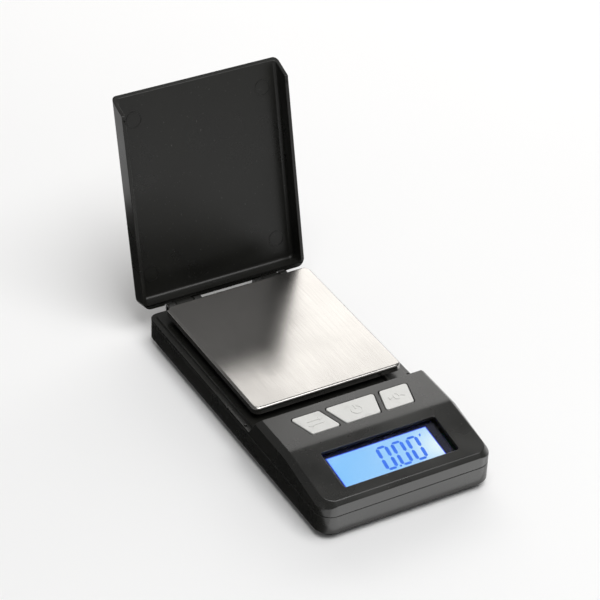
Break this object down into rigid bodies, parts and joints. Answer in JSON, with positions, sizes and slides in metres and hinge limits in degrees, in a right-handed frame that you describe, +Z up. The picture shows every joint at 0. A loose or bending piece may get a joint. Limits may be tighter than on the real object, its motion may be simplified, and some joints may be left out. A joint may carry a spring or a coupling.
{
  "type": "digital gram scale",
  "caption": "Pocket gram scale with a flip lid, a square steel weighing tray, silver buttons and a recessed backlit display.",
  "frame": {"origin": "middle of the footprint of the scale standing on its feet with the lid open, on the table's surface", "axes": "+X to the user's right, +Y from the display towards the lid's hinge, +Z up out of the weighing tray"},
  "size_m": [0.063, 0.148, 0.0816],
  "materials": {
    "case_black": "fine-textured satin",
    "lid_black": "fine-textured satin",
    "door_black": "fine-textured satin",
    "carrier_black": "matt",
    "tray_steel": "brushed along its length",
    "button_silver": "silver paint, satin",
    "window_clear": "clear, polished",
    "lcd_blue": "lit from behind",
    "backlight_white": "frosted",
    "board_green": "solder mask",
    "chip_black": "moulded epoxy",
    "switch_metal": "satin",
    "zebra_rubber": "matt",
    "ribbon_grey": "satin",
    "cable_grey": "satin",
    "battery_wrap": "printed film without lettering",
    "contact_steel": "nickel plated",
    "cell_aluminium": "machined",
    "sealant_white": "matt",
    "screw_steel": "zinc plated",
    "pin_steel": "ground",
    "foot_rubber": "matt"
  },
  "bodies": {
    "case": {"lower_case": "case_black", "upper_case": "case_black", "display_window": "window_clear", "lcd_glass": "lcd_blue", "backlight": "backlight_white", "zebra_strip": "zebra_rubber", "display_board": "board_green", "main_board": "board_green", "mode_switch": "switch_metal", "power_switch": "switch_metal", "tare_switch": "switch_metal", "controller_chip": "chip_black", "board_screw_left": "screw_steel", "board_screw_right": "screw_steel", "ribbon_cable": "ribbon_grey", "battery_front": "battery_wrap", "battery_rear": "battery_wrap", "contact_positive": "contact_steel", "contact_negative": "contact_steel", "contact_bridge": "contact_steel", "contact_spring_front": "contact_steel", "contact_spring_rear": "contact_steel", "load_cell": "cell_aluminium", "strain_gauge_cover": "sealant_white", "load_cell_cable": "cable_grey", "load_cell_screw_1": "screw_steel", "load_cell_screw_2": "screw_steel", "case_screw_front_left": "screw_steel", "case_screw_front_right": "screw_steel", "case_screw_rear_left": "screw_steel", "case_screw_rear_right": "screw_steel", "rubber_foot_front_left": "foot_rubber", "rubber_foot_front_right": "foot_rubber", "rubber_foot_rear_left": "foot_rubber", "rubber_foot_rear_right": "foot_rubber", "hinge_pin_left": "pin_steel", "hinge_pin_right": "pin_steel"},
    "lid": {"lid": "lid_black"},
    "platform": {"weighing_tray": "tray_steel", "platform_carrier": "carrier_black", "platform_screw_1": "screw_steel", "platform_screw_2": "screw_steel"},
    "mode_button": {"mode_button": "button_silver"},
    "power_button": {"power_button": "button_silver"},
    "tare_button": {"tare_button": "button_silver"},
    "battery_door": {"battery_door": "door_black"}
  },
  "joints": [
    {"name": "lid_hinge", "type": "hinge", "parent": "case", "child": "lid", "pos_m": [0, 0.04731, 0.009], "axis": [1, 0, 0], "range_deg": [0, 103.5]},
    {"name": "platform_press", "type": "slide", "parent": "case", "child": "platform", "axis": [0, 0, -1], "range_m": [0, 0.0004], "stiffness_N_per_m": 16000},
    {"name": "mode_button_press", "type": "slide", "parent": "case", "child": "mode_button", "axis": [0, 0, -1], "range_m": [0, 0.0005], "stiffness_N_per_m": 1500},
    {"name": "power_button_press", "type": "slide", "parent": "case", "child": "power_button", "axis": [0, 0, -1], "range_m": [0, 0.0005], "stiffness_N_per_m": 1500},
    {"name": "tare_button_press", "type": "slide", "parent": "case", "child": "tare_button", "axis": [0, 0, -1], "range_m": [0, 0.0005], "stiffness_N_per_m": 1500},
    {"name": "battery_door_slide", "type": "slide", "parent": "case", "child": "battery_door", "axis": [1, 0, 0], "range_m": [0, 0.03]}
  ]
}
